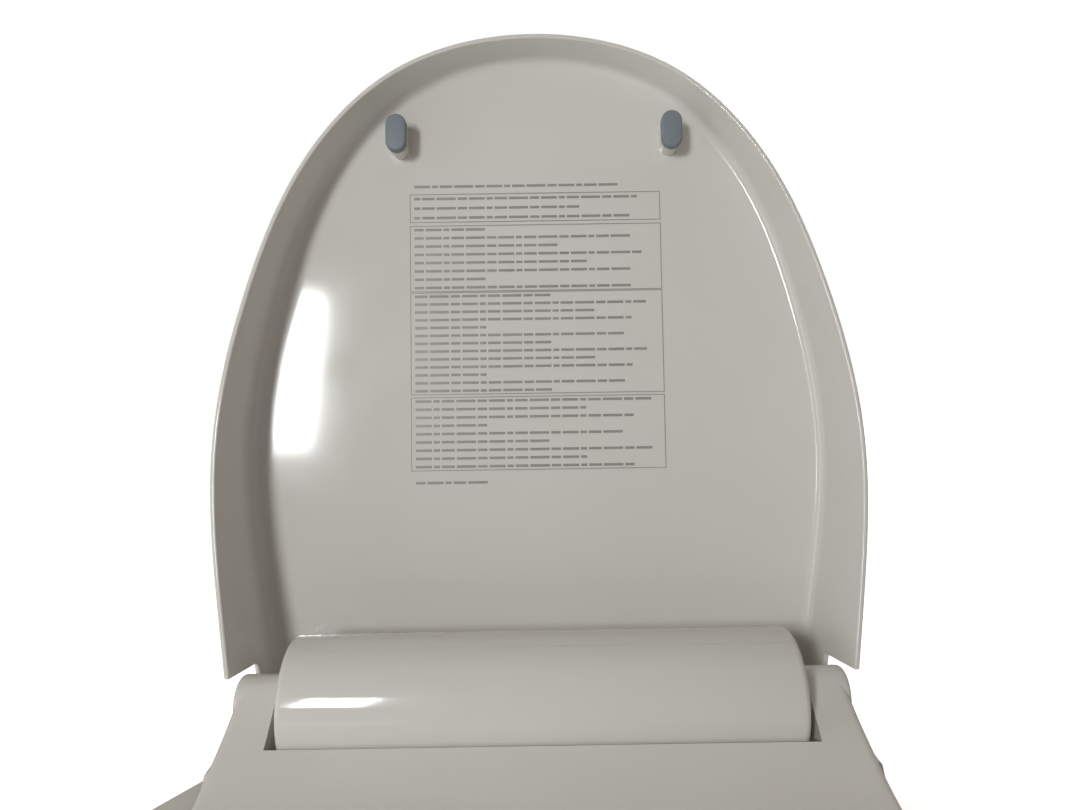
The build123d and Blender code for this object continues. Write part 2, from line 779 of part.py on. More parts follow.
# =====================================================================
# Side panel
# =====================================================================
buttons = {
    "button_stop": (panel_mid, -132, 34, 22),
    "button_rear": (panel_mid, -168, 34, 20),
    "button_front": (panel_mid, -200, 34, 20),
    "button_air": (panel_mid, -232, 34, 20),
    "button_less": (panel_mid - 13, -266, 18, 16),
    "button_more": (panel_mid + 13, -266, 18, 16),
}
post_places = [
    (panel_inner - 11, -110),
    (panel_outer + 13, -180),
    (panel_inner - 11, -285),
    (panel_outer + 13, -285),
    (panel_inner - 11, -215),
]


def panel_plan(inset):
    with BuildSketch() as plan:
        with BuildLine():
            Polyline(
                (-case_half - 0.2, panel_root),
                (-case_half - 0.2, panel_rear + 6),
                (panel_inner, panel_rear - 8),
                (panel_inner, panel_front),
                (panel_outer, panel_front),
                (panel_outer, panel_rear - 56),
                (-case_half - 14, panel_root),
                close=True,
            )
        make_face()
        fillet(plan.vertices().group_by(Axis.Y)[0], 16)
        fillet(plan.vertices().group_by(Axis.X)[0].sort_by(Axis.Y)[-1:], 30)
        if inset:
            offset(amount=-inset, kind=Kind.INTERSECTION)
    return plan.sketch


def make_panel():
    with BuildPart() as lower:
        add(ring_block(panel_plan(0), panel_under, panel_split - panel_under))
        add(ring_block(panel_plan(panel_wall), panel_under + panel_wall, 60), mode=Mode.SUBTRACT)
        with BuildSketch(Plane.XY.offset(panel_under + panel_wall)):
            with Locations(*post_places):
                Circle(4)
        extrude(amount=board_z - panel_under - panel_wall)
        with BuildSketch(Plane.XY.offset(panel_under)):
            with Locations(*post_places):
                Circle(1.4)
        extrude(amount=60, mode=Mode.SUBTRACT)
    save(lower, "panel_lower")
    with BuildPart() as upper:
        add(ring_block(panel_plan(0), panel_split, panel_top - panel_split))
        top_edges = upper.faces().sort_by(Axis.Z)[-1].edges()
        fillet(top_edges, 3)
        add(ring_block(panel_plan(panel_wall), panel_split, panel_top - panel_wall - panel_split), mode=Mode.SUBTRACT)
        for x, y, w, h in buttons.values():
            with BuildSketch(Plane.XY.offset(panel_top - panel_wall - 1)):
                with Locations((x, y)):
                    RectangleRounded(w + 2 * button_gap, h + 2 * button_gap, 4.4)
            extrude(amount=panel_wall + 4, mode=Mode.SUBTRACT)
        with BuildSketch(Plane.XY.offset(panel_top - panel_wall - 1)):
            with Locations(lens_place):
                RectangleRounded(lens_size[0] + button_gap, lens_size[1] + button_gap, 3.1)
        extrude(amount=panel_wall + 4, mode=Mode.SUBTRACT)
    save(upper, "panel_upper")
    with BuildPart() as lens:
        with BuildSketch(Plane.XY.offset(panel_top - panel_wall)):
            with Locations(lens_place):
                RectangleRounded(*lens_size, 2.9)
        extrude(amount=panel_wall + 0.2)
        with BuildSketch(Plane.XY.offset(panel_top - panel_wall - 1.2)):
            with Locations(lens_place):
                RectangleRounded(lens_size[0] + 3, lens_size[1] + 3, 3.5)
        extrude(amount=1.2)
    save(lens, "indicator_lens")
    stem_end = board_z + board_thick + switch_high + key_free
    for name, (x, y, w, h) in buttons.items():
        with BuildPart() as button:
            with BuildSketch(Plane.XY.offset(panel_top - panel_wall - 0.3)):
                with Locations((x, y)):
                    RectangleRounded(w, h, 4)
            extrude(amount=panel_wall + 0.3 + button_rise)
            fillet(button.faces().sort_by(Axis.Z)[-1].edges(), 1)
            with BuildSketch(Plane.XY.offset(panel_top - panel_wall - 1.8)):
                with Locations((x, y)):
                    RectangleRounded(w + 3, h + 3, 4)
            extrude(amount=1.5)
            with BuildSketch(Plane.XY.offset(stem_end)):
                with Locations((x, y)):
                    Circle(3)
            extrude(amount=panel_top - panel_wall - 1.8 - stem_end)
        save(button, name)
    with BuildPart() as board:
        add(ring_block(panel_plan(panel_wall + 4), board_z, board_thick))
        # the board ends before the panel's root
        with BuildSketch(Plane.XY.offset(board_z)):
            with Locations((-case_half, -60)):
                Rectangle(60, 70)
        extrude(amount=board_thick, mode=Mode.SUBTRACT)
    save(board, "panel_board")
    with BuildPart() as switches:
        with BuildSketch(Plane.XY.offset(board_z + board_thick)):
            with Locations(*[(x, y) for x, y, w, h in buttons.values()]):
                Rectangle(6, 6)
        extrude(amount=switch_high)
    save(switches, "tact_switches")
    with BuildPart() as screws:
        with BuildSketch(Plane.XY.offset(panel_under)):
            with Locations(*post_places):
                Circle(1.3)
        extrude(amount=14)
        with BuildSketch(Plane.XY.offset(panel_under - 1.5)):
            with Locations(*post_places):
                Circle(2.6)
        extrude(amount=1.5)
    save(screws, "panel_screws")


make_lid()
make_seat()
make_hinge()
make_case()
make_mounting()
make_nozzle()
make_water()
make_power()
make_air()
make_panel()
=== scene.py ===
# %% [markdown]
# # An electric bidet seat
# The real object is a heated toilet seat with a wash unit behind it. Its lid stands open like a
# tray on edge, the seat lies flat, and a barrel-shaped cover hides the hinges between them.
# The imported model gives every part's true size and place, so this lesson starts by loading it
# and then builds the visible pieces round it, one by one, in metres.

# %% Load the frame
import json
from math import radians, sin, cos, pi, exp, sqrt
import bpy
import numpy as np
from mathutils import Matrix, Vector

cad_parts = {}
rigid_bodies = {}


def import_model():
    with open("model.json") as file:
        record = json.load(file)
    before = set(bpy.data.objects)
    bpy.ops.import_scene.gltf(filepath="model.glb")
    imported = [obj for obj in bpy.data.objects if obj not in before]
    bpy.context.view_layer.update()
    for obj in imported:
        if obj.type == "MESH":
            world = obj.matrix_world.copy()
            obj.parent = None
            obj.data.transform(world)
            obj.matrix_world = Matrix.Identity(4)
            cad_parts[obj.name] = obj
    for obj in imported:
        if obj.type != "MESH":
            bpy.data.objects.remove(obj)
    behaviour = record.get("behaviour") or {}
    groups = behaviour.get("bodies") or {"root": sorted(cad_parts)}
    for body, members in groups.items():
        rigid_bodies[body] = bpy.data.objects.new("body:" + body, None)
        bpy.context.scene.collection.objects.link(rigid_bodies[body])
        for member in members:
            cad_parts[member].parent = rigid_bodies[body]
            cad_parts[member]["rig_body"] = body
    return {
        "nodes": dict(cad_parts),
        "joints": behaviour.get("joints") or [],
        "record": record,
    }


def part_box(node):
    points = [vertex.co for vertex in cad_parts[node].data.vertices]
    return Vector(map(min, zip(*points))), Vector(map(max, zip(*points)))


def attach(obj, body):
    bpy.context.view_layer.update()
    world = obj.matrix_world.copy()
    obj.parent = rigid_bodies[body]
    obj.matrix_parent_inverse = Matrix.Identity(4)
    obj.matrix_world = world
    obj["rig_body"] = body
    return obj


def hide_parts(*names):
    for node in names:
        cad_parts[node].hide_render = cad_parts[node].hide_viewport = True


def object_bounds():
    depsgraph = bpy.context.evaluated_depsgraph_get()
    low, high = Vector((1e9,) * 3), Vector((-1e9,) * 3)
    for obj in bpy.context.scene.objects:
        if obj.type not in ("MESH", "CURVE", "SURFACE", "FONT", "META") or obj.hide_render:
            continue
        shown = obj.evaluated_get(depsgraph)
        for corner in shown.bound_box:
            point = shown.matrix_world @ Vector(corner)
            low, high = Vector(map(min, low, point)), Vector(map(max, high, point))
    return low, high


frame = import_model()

cad_low, cad_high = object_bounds()
slot_of = {part["node"]: part["material_slot"] for part in frame["record"]["subparts"]}
hinge = Vector(next(j["pos_m"] for j in frame["joints"] if j["name"] == "lid_hinge"))
print("CAD box", [round(v, 3) for v in cad_low], [round(v, 3) for v in cad_high])
print("hinge line at", [round(v, 3) for v in hinge])

# %% [markdown]
# The camera stands over the front of the bowl, a third of a metre above the rim, looks a little
# down and sees the inside of the open lid. A short lens gives the strong perspective of a close
# view. The camera is made first, so that each later cell can be looked at through it.

# %% Camera
LENS, SENSOR, NEAREST = 27.2, 36.0, 0.01
CAMERA_PLACE = (0.0, -0.4931, 0.3263)
PITCH_UP, YAW, ROLL = radians(83.4), radians(-0.14), radians(-0.85)
camera_data = bpy.data.cameras.new("camera")
camera_data.lens, camera_data.sensor_width, camera_data.clip_start = LENS, SENSOR, NEAREST
camera = bpy.data.objects.new("camera", camera_data)
bpy.context.scene.collection.objects.link(camera)
camera.location = CAMERA_PLACE
camera.rotation_euler = (PITCH_UP, 0.0, YAW)
camera.rotation_euler.rotate_axis("Z", ROLL)
bpy.context.scene.camera = camera
bpy.context.scene.view_settings.view_transform = "Standard"
print("camera at", [round(v, 3) for v in camera.location])


# %% [markdown]
# Most shapes below are made with the tools of edit mode. An operator works on whatever is
# selected, so four small helpers keep the selection honest: one clears it, one leaves a single
# piece, one takes all of a piece, and one picks faces, edges or vertices by a test on their place.

# %% Selection helpers
def clear():
    """Object mode, with nothing selected."""
    if bpy.context.object and bpy.context.object.mode != "OBJECT":
        bpy.ops.object.mode_set(mode="OBJECT")
    bpy.ops.object.select_all(action="DESELECT")


def only(piece):
    """This piece alone is selected and active."""
    clear()
    piece.select_set(True)
    bpy.context.view_layer.objects.active = piece


def pick(piece, kind, test):
    """Edit mode, with the faces, edges or vertices selected whose place passes the test."""
    only(piece)
    bpy.ops.object.mode_set(mode="EDIT")
    bpy.ops.mesh.select_mode(type=kind)
    bpy.ops.mesh.select_all(action="DESELECT")
    bpy.ops.object.mode_set(mode="OBJECT")
    mesh, found = piece.data, 0
    if kind == "FACE":
        for f in mesh.polygons:
            f.select = bool(test(f.center, f.normal))
            found += f.select
    elif kind == "EDGE":
        for e in mesh.edges:
            e.select = bool(test(*(mesh.vertices[i].co for i in e.vertices)))
            found += e.select
    else:
        for v in mesh.vertices:
            v.select = bool(test(v.co))
            found += v.select
    bpy.ops.object.mode_set(mode="EDIT")
    return found


def everything(piece):
    """Edit mode, with all of the piece selected."""
    only(piece)
    bpy.ops.object.mode_set(mode="EDIT")
    bpy.ops.mesh.select_mode(type="FACE")
    bpy.ops.mesh.select_all(action="SELECT")


# %% [markdown]
# The second set of helpers changes the mesh. Each one selects for itself, does one thing a maker
# would name, and leaves a clean mesh, so that the later cells read as a list of such steps.

# %% Shaping helpers
NEAR = 0.00001  # places closer than this count as one


def cut(piece, point, normal, keep="BOTH"):
    """Bisect the whole piece. BEHIND keeps what is behind the plane, FRONT what is before it."""
    everything(piece)
    bpy.ops.mesh.bisect(plane_co=point, plane_no=normal, clear_outer=keep == "BEHIND",
                        clear_inner=keep == "FRONT")


def modify(piece, kind, **settings):
    """Add a modifier with these settings and apply it."""
    only(piece)
    modifier = piece.modifiers.new(kind.lower(), kind)
    for key, value in settings.items():
        setattr(modifier, key, value)
    bpy.ops.object.modifier_apply(modifier=modifier.name)


def carve(piece, tool):
    """Cut the tool's shape out of the piece, and put the tool away."""
    modify(piece, "BOOLEAN", operation="DIFFERENCE", object=tool, solver="EXACT")
    bpy.data.objects.remove(tool)


def smooth(piece, angle):
    """Shade smooth over every edge flatter than the angle, in degrees."""
    only(piece)
    bpy.ops.object.shade_smooth_by_angle(angle=radians(angle))


def soft_edges(piece, width, segments=3, angle=40.0):
    """Round the sharp edges a little, as a mould does, and shade the rest smooth."""
    modify(piece, "BEVEL", width=width, segments=segments, limit_method="ANGLE",
           angle_limit=radians(angle))
    smooth(piece, angle)


def tidy_mesh(piece):
    """Merge doubles and turn every face outwards."""
    everything(piece)
    bpy.ops.mesh.remove_doubles(threshold=NEAR)
    bpy.ops.mesh.normals_make_consistent(inside=False)
    bpy.ops.object.mode_set(mode="OBJECT")


def join(piece, *others):
    """Make one piece of several."""
    only(piece)
    for other in others:
        other.select_set(True)
    bpy.ops.object.join()
    return piece


def empty_piece():
    """A mesh with nothing in it, open in edit mode."""
    clear()
    bpy.ops.mesh.primitive_plane_add(size=1, location=(0, 0, 0))
    piece = bpy.context.object
    everything(piece)
    bpy.ops.mesh.delete(type="FACE")
    return piece


def flat_face(middle, wide, high):
    """In edit mode, a new flat face of this size, left selected."""
    bpy.ops.mesh.primitive_plane_add(size=1, location=middle)
    bpy.ops.transform.resize(value=(wide, high, 1), center_override=middle)


# %% [markdown]
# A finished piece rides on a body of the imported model, takes a finish and may stand for a CAD
# part. One helper says all three, so that none is forgotten.

# %% Finish a piece
def finish_piece(piece, name, body, slot, *nodes):
    """Name the piece, give it its finish, set it on its body and hide the nodes it stands for."""
    clear()
    piece.name = name
    piece.data.materials.clear()
    piece.data.materials.append(finishes[slot])
    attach(piece, body)
    if nodes:
        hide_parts(*nodes)
    print(name, "has", len(piece.data.polygons), "faces and rides on", body)


# %% [markdown]
# ## Finishes
# The housing is glossy injection-moulded plastic in a warm white. A moulding is never one flat
# colour: the tone clouds a little, fingers and wiping leave patches of different gloss, and the
# surface has a very fine ripple. One node group gives these three effects, and each finish
# places it with its own values. The shader itself stays in the material.

# %% Surface group
NOISE_SPAN = (0.3, 0.7)  # nearly all of a noise lies between these


def make_surface_group():
    group = bpy.data.node_groups.new("moulded_surface", "ShaderNodeTree")
    face = group.interface
    for name, kind, default in (("Tone", "NodeSocketColor", (0.7, 0.7, 0.7, 1)),
                                ("Cloud tone", "NodeSocketColor", (0.6, 0.6, 0.6, 1)),
                                ("Cloud size", "NodeSocketFloat", 9.0),
                                ("Gloss low", "NodeSocketFloat", 0.15),
                                ("Gloss high", "NodeSocketFloat", 0.25),
                                ("Smear size", "NodeSocketFloat", 22.0),
                                ("Grain size", "NodeSocketFloat", 700.0),
                                ("Grain share", "NodeSocketFloat", 0.5)):
        face.new_socket(name, in_out="INPUT", socket_type=kind).default_value = default
    for name, kind in (("Color", "NodeSocketColor"), ("Roughness", "NodeSocketFloat"),
                       ("Height", "NodeSocketFloat")):
        face.new_socket(name, in_out="OUTPUT", socket_type=kind)
    nodes, links = group.nodes, group.links
    inlet, outlet = nodes.new("NodeGroupInput"), nodes.new("NodeGroupOutput")
    place = nodes.new("ShaderNodeTexCoord")

    def noise(size, detail):
        n = nodes.new("ShaderNodeTexNoise")
        n.inputs["Detail"].default_value = detail
        links.new(place.outputs["Object"], n.inputs["Vector"])
        links.new(inlet.outputs[size], n.inputs["Scale"])
        return n

    cloud, smear, grain = noise("Cloud size", 3.0), noise("Smear size", 5.0), noise("Grain size", 2.0)
    tone = nodes.new("ShaderNodeMix")
    tone.data_type = "RGBA"
    span = nodes.new("ShaderNodeMapRange")
    span.inputs["From Min"].default_value, span.inputs["From Max"].default_value = NOISE_SPAN
    links.new(cloud.outputs["Fac"], span.inputs["Value"])
    links.new(span.outputs["Result"], tone.inputs["Factor"])
    links.new(inlet.outputs["Tone"], tone.inputs[6])
    links.new(inlet.outputs["Cloud tone"], tone.inputs[7])
    links.new(tone.outputs[2], outlet.inputs["Color"])
    gloss = nodes.new("ShaderNodeMapRange")
    gloss.inputs["From Min"].default_value, gloss.inputs["From Max"].default_value = NOISE_SPAN
    links.new(smear.outputs["Fac"], gloss.inputs["Value"])
    links.new(inlet.outputs["Gloss low"], gloss.inputs["To Min"])
    links.new(inlet.outputs["Gloss high"], gloss.inputs["To Max"])
    links.new(gloss.outputs["Result"], outlet.inputs["Roughness"])
    share = nodes.new("ShaderNodeMix")
    links.new(inlet.outputs["Grain share"], share.inputs["Factor"])
    links.new(cloud.outputs["Fac"], share.inputs[2])
    links.new(grain.outputs["Fac"], share.inputs[3])
    links.new(share.outputs[0], outlet.inputs["Height"])
    return group


surface_group = make_surface_group()
print("surface group has", len(surface_group.nodes), "nodes")

# %% [markdown]
# Each finish is a material of its own, so that its shader can be set without touching the others.
# It gives the group two tones, a low and a high roughness, and the size of its grain. Ivory is
# the glossiest, rubber the dullest, and metals and keys share their grain.

# %% Finishes from the group
RIPPLE_DEPTH = 0.001


def finish(name, tone, cloud_tone, gloss, bump=0.02, **values):
    """A material whose colour, gloss and ripple come from the surface group."""
    material = bpy.data.materials.new(name)
    material.use_nodes = True
    nodes, links = material.node_tree.nodes, material.node_tree.links
    shader = nodes["Principled BSDF"]
    group = nodes.new("ShaderNodeGroup")
    group.node_tree = surface_group
    group.inputs["Tone"].default_value = (*tone, 1)
    group.inputs["Cloud tone"].default_value = (*cloud_tone, 1)
    group.inputs["Gloss low"].default_value, group.inputs["Gloss high"].default_value = gloss
    for key, value in values.items():
        socket = key.replace("_", " ").capitalize()
        holder = group if socket in group.inputs else shader
        holder.inputs[socket].default_value = value
    ripple = nodes.new("ShaderNodeBump")
    ripple.inputs["Strength"].default_value = bump
    ripple.inputs["Distance"].default_value = RIPPLE_DEPTH
    links.new(group.outputs["Color"], shader.inputs["Base Color"])
    links.new(group.outputs["Roughness"], shader.inputs["Roughness"])
    links.new(group.outputs["Height"], ripple.inputs["Height"])
    links.new(ripple.outputs["Normal"], shader.inputs["Normal"])
    return material


METAL = {"bump": 0.1, "Metallic": 1.0, "grain_size": 1400.0, "grain_share": 0.9}
KEY = {"gloss": (0.34, 0.46), "bump": 0.06, "grain_size": 2200.0, "grain_share": 0.8}
finishes = {
    "ivory": finish("ivory", (0.69, 0.677, 0.645), (0.66, 0.648, 0.61), (0.07, 0.13), 0.008,
                    cloud_size=6.0, grain_size=260.0, grain_share=0.25),
    "grey_rubber": finish("grey_rubber", (0.2, 0.226, 0.26), (0.175, 0.2, 0.235), (0.5, 0.68),
                          0.15, grain_size=2600.0, grain_share=0.9),
    "foil": finish("foil", (0.75, 0.75, 0.76), (0.6, 0.6, 0.62), (0.2, 0.4), 0.5, Metallic=1.0,
                   grain_size=900.0, grain_share=0.8),
    "white_plastic": finish("white_plastic", (0.78, 0.78, 0.75), (0.74, 0.74, 0.71),
                            (0.32, 0.45), 0.05, grain_size=1500.0, grain_share=0.7),
    "dark_plastic": finish("dark_plastic", (0.045, 0.045, 0.05), (0.06, 0.06, 0.065),
                           (0.4, 0.55), 0.1, grain_size=1800.0, grain_share=0.8),
    "steel": finish("steel", (0.6, 0.6, 0.58), (0.5, 0.5, 0.49), (0.25, 0.42), **METAL),
    "brass": finish("brass", (0.72, 0.55, 0.26), (0.62, 0.45, 0.2), (0.25, 0.4), **METAL),
    "board_green": finish("board_green", (0.02, 0.13, 0.05), (0.03, 0.17, 0.07), (0.3, 0.42),
                          0.06, grain_size=1500.0, grain_share=0.7),
    "button_grey": finish("button_grey", (0.36, 0.37, 0.38), (0.33, 0.34, 0.35), **KEY),
    "button_orange": finish("button_orange", (0.7, 0.2, 0.05), (0.62, 0.17, 0.04), **KEY),
    "button_blue": finish("button_blue", (0.13, 0.29, 0.52), (0.11, 0.25, 0.46), **KEY),
    "button_pink": finish("button_pink", (0.68, 0.28, 0.36), (0.6, 0.24, 0.32), **KEY),
    "lens": finish("lens", (0.02, 0.02, 0.022), (0.03, 0.03, 0.033), (0.04, 0.09), 0.01),
    "print_grey": finish("print_grey", (0.27, 0.27, 0.26), (0.32, 0.32, 0.31), (0.3, 0.4),
                         0.02, cloud_size=60.0),
}
print(len(finishes), "finishes")

# %% [markdown]
# The CAD parts whose shape is already right keep it and only take the better finish. The
# finish goes on each object's own material slot, which leaves the mesh as it is.

# %% Finishes for the CAD parts
for node, part in frame["nodes"].items():
    for holder in part.material_slots:
        holder.link = "OBJECT"
        holder.material = finishes[slot_of[node]]
print(len(frame["nodes"]), "CAD parts refinished")


# %% [markdown]
# ## The outline
# Lid and seat share one outline: nearly parallel sides that swell to their widest a third of the
# way along and close in a full round at the tip. It is given by a few stations, each a share of
# the reach and the half width there. A natural spline through them keeps the bend even, which
# straight runs or separate arcs wouldn't.

# %% Outline
LID_REACH = 0.4165
LID_LEAN = radians(10.0)
LID_SLOPE = radians(13.7)
STATIONS = ((0.94, 0.092), (0.776, 0.1514), (0.6, 0.1786),
            (0.351, 0.1945), (0.13, 0.1854), (0.0, 0.1765))
SEAT_ROOT = 0.1774
NOSE_START = 0.35  # share of the reach where the sides begin to turn in
OUTLINE_POINTS = 161


def smooth_line(points, count):
    """A natural cubic spline through the points, as an even run of count points."""
    p = np.array(points, float)
    along = np.r_[0, np.cumsum(np.linalg.norm(np.diff(p, axis=0), axis=1))]
    gap, last = np.diff(along), len(p) - 1
    left, right = np.eye(len(p)), np.zeros_like(p)
    for i in range(1, last):
        left[i, i - 1:i + 2] = gap[i - 1], 2 * (gap[i - 1] + gap[i]), gap[i]
        right[i] = 6 * ((p[i + 1] - p[i]) / gap[i] - (p[i] - p[i - 1]) / gap[i - 1])
    bend, run = np.linalg.solve(left, right), []
    for t in np.linspace(0, along[-1], count):
        i = min(int(np.searchsorted(along, t, side="right")) - 1, last - 1)
        a, b = (along[i + 1] - t) / gap[i], (t - along[i]) / gap[i]
        run.append(a * p[i] + b * p[i + 1]
                   + ((a**3 - a) * bend[i] + (b**3 - b) * bend[i + 1]) * gap[i] ** 2 / 6)
    return [tuple(q) for q in run]


def outline(inset, squeeze, start, root=STATIONS[-1][1]):
    """The outline moved in by inset, from its left rear end round the tip to its right rear end."""
    side = []
    for share, half in STATIONS[:-1] + ((0.0, root),):
        nose = max(0.0, (share - NOSE_START) / (1 - NOSE_START)) ** 2
        side.append((half - inset * sqrt(1 - nose**2),
                     start - share * LID_REACH * squeeze + inset * nose))
    tip = (0.0, start - LID_REACH * squeeze + inset)
    return smooth_line([(-x, y) for x, y in reversed(side)] + [tip] + side, OUTLINE_POINTS)


print("widest half", round(max(x for x, y in outline(0, 1, 0)), 4))

# %% [markdown]
# ## The lid
# The real lid is one thin moulding: a panel with walls that lean out to the rim and a round
# where they meet. It could be lofted or sculpted, but the way a hand would do it is an outline
# face that is inset again and again, each time a little further in and further out the back:
# once for the drafted wall, in small steps for the round and twice for the edge of the panel.
# The rest of the panel is the last ring, shrunk in steps, because a wider inset would cross over
# itself at the tip. Two cuts then give the sloping rim and the open rear.

# %% Lid skin
LID_BACK = 0.055
LID_WALL = 0.003
LID_CORNER = 0.010
RIM_START = -0.038
RIM_AT_HINGE, RIM_AT_TIP = -0.018, 0.025
RIM_RISE = (RIM_AT_TIP - RIM_AT_HINGE) / LID_REACH
RIM_FLARE, WALL_DRAFT = 0.003, 0.0075
REAR_SPARE, LID_TAIL = 0.05, 0.014
PANEL_EDGE, PANEL_MIDDLE_Y = 0.009, -0.19
PANEL_STEPS = (0.9, 0.88, 0.86, 0.84, 0.82, 0.78, 0.7, 0.6, 0.45)
rim_points = outline(-RIM_FLARE, 1, 0)
lid_points = rim_points + [(rim_points[-1][0], REAR_SPARE), (rim_points[0][0], REAR_SPARE)]
clear()
bpy.ops.mesh.primitive_circle_add(vertices=len(lid_points), radius=0.2, fill_type="NGON")
lid = bpy.context.object
for corner, (x, y) in zip(lid.data.vertices, lid_points):
    corner.co = (x, y, RIM_START)
lid.data.update()
everything(lid)
if lid.data.polygons[0].normal.z < 0:
    bpy.ops.mesh.flip_normals()
bpy.ops.mesh.inset(thickness=WALL_DRAFT, depth=LID_BACK - LID_CORNER - RIM_START)
turns = [radians(a) for a in range(0, 91, 15)]
for a, b in zip(turns, turns[1:]):
    bpy.ops.mesh.inset(thickness=LID_CORNER * (cos(a) - cos(b)),
                       depth=LID_CORNER * (sin(b) - sin(a)))
for step in range(2):
    bpy.ops.mesh.inset(thickness=PANEL_EDGE, depth=0.0)
for size in PANEL_STEPS:
    bpy.ops.mesh.extrude_region_move()
    bpy.ops.transform.resize(value=(size, size, 1.0),
                             center_override=(0.0, PANEL_MIDDLE_Y, LID_BACK))
bpy.ops.mesh.poke()
cut(lid, (0, LID_TAIL, 0), (0, 1, 0), keep="BEHIND")
cut(lid, (0, 0, RIM_AT_HINGE), (0, RIM_RISE, 1), keep="FRONT")
bpy.ops.object.mode_set(mode="OBJECT")
print("lid skin has", len(lid.data.polygons), "faces")


# %% [markdown]
# A flat panel would show dead, flat reflections. The real one bows very slightly, so its middle
# stays where it is and its edges sink by some two millimetres. Every point of the panel is moved
# by one rule. Solidify then gives the skin its wall, and two blocks cut the walls short beside
# the hinge, where the seat's arms need the room.

# %% Lid bow, wall and rim
BOW_DEPTH, PANEL_LEVEL = 0.0022, 0.04
BOW_HALF_X, BOW_HALF_Y, BOW_MIDDLE_Y = 0.19, 0.22, -0.2
WALL_START, WALL_START_DEPTH = 0.0175, 0.022
CLEARING = 0.2  # length and height of the blocks that cut the walls short
LID_EDGE_R = 0.0009


def bow(x, y):
    """How far the panel sinks from its middle at a place on the lid."""
    return BOW_DEPTH * ((x / BOW_HALF_X) ** 2 + ((y - BOW_MIDDLE_Y) / BOW_HALF_Y) ** 2) / 2


for v in lid.data.vertices:
    if v.co.z > PANEL_LEVEL:
        v.co.z -= bow(v.co.x, v.co.y)
modify(lid, "SOLIDIFY", thickness=LID_WALL, offset=-1.0, use_rim=True)
for side in (-1, 1):
    clear()
    place = (side * CLEARING, CLEARING / 2 - WALL_START, WALL_START_DEPTH - CLEARING / 2)
    bpy.ops.mesh.primitive_cube_add(size=1, location=place,
                                    scale=(CLEARING / 2, CLEARING, CLEARING))
    carve(lid, bpy.context.object)
soft_edges(lid, LID_EDGE_R, segments=3, angle=45.0)
print("lid wall done,", len(lid.data.polygons), "faces")

# %% [markdown]
# Two plates reach down from the panel beside the barrel and carry the lid on its pins. Each is a
# block with one corner cut off and its edges rounded, and a bore cut for the pin.

# %% Hinge tabs
TAB_THICK, TAB_LONG, TAB_HIGH = 0.0035, 0.04, 0.0645
TAB_Y, TAB_Z = -0.008, 0.0203
TAB_ROUND, TAB_EDGE_R, BORE_GAP = 0.006, 0.0003, 0.0001
barrel_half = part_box("hinge_cover")[1].x
tab_middle = barrel_half + 0.0025
pin_low, pin_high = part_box("hinge_pins")
pin_bore = (pin_high.z - pin_low.z) / 2 + BORE_GAP


def make_tab(side):
    """One plate, at -1 or 1 side of the lid."""
    clear()
    bpy.ops.mesh.primitive_cube_add(size=1, location=(side * tab_middle, TAB_Y, TAB_Z),
                                    scale=(TAB_THICK, TAB_LONG, TAB_HIGH))
    tab = bpy.context.object
    bpy.ops.object.transform_apply(location=True, rotation=False, scale=True)
    everything(tab)
    bpy.ops.mesh.bisect(plane_co=(0, -0.006, -0.011), plane_no=(0, 0.45, 1), clear_inner=True,
                        use_fill=True)
    bpy.ops.object.mode_set(mode="OBJECT")
    pick(tab, "EDGE", lambda a, b: abs(a.x - b.x) > 0.003 and min(a.z, b.z) < 0.01)
    bpy.ops.mesh.bevel(offset=TAB_ROUND, segments=6)
    clear()
    bpy.ops.mesh.primitive_cylinder_add(vertices=48, radius=pin_bore, depth=0.02,
                                        location=(side * tab_middle, 0, 0),
                                        rotation=(0, pi / 2, 0))
    carve(tab, bpy.context.object)
    soft_edges(tab, TAB_EDGE_R, segments=2)
    return tab


tabs = [make_tab(side) for side in (-1, 1)]
print("tabs at", [round(t.data.vertices[0].co.x, 4) for t in tabs])

# %% [markdown]
# The two bumpers keep the closed lid off the seat. Each is a rubber cap on a post that belongs
# to the lid. Both are long rounds, made from a cylinder whose two halves are pulled apart, with
# the free end beveled. One is modelled and copied, each copy with its own mesh.

# %% Bumper posts and caps
BUMPER_X, BUMPER_REACH = 0.090, 0.353
POST_WIDE, POST_LONG, POST_END = 0.012, 0.023, 0.0373
CAP_WIDE, CAP_LONG, CAP_HEIGHT = 0.0134, 0.0244, 0.006
POST_ROUND, CAP_ROUND = 0.0006, 0.0014
POST_TOP = LID_BACK - 0.002  # inside the panel's wall


def long_round(width, length, low, high, rounding):
    """A stadium-shaped post standing along Z, with its low end rounded."""
    clear()
    bpy.ops.mesh.primitive_cylinder_add(vertices=48, radius=width / 2, depth=high - low,
                                        location=(0, 0, (low + high) / 2))
    post = bpy.context.object
    bpy.ops.object.transform_apply(location=True, rotation=False, scale=True)
    for v in post.data.vertices:
        v.co.y += (length - width) / 2 * (1 if v.co.y > 0 else -1)
    pick(post, "EDGE", lambda a, b: max(a.z, b.z) < low + NEAR)
    bpy.ops.mesh.bevel(offset=rounding, segments=4)
    smooth(post, 40)
    return post


def copy_at(piece, x, y):
    """A copy with its own mesh, moved by x and y."""
    twin = piece.copy()
    twin.data = piece.data.copy()
    bpy.context.scene.collection.objects.link(twin)
    for v in twin.data.vertices:
        v.co.x += x
        v.co.y += y
    return twin


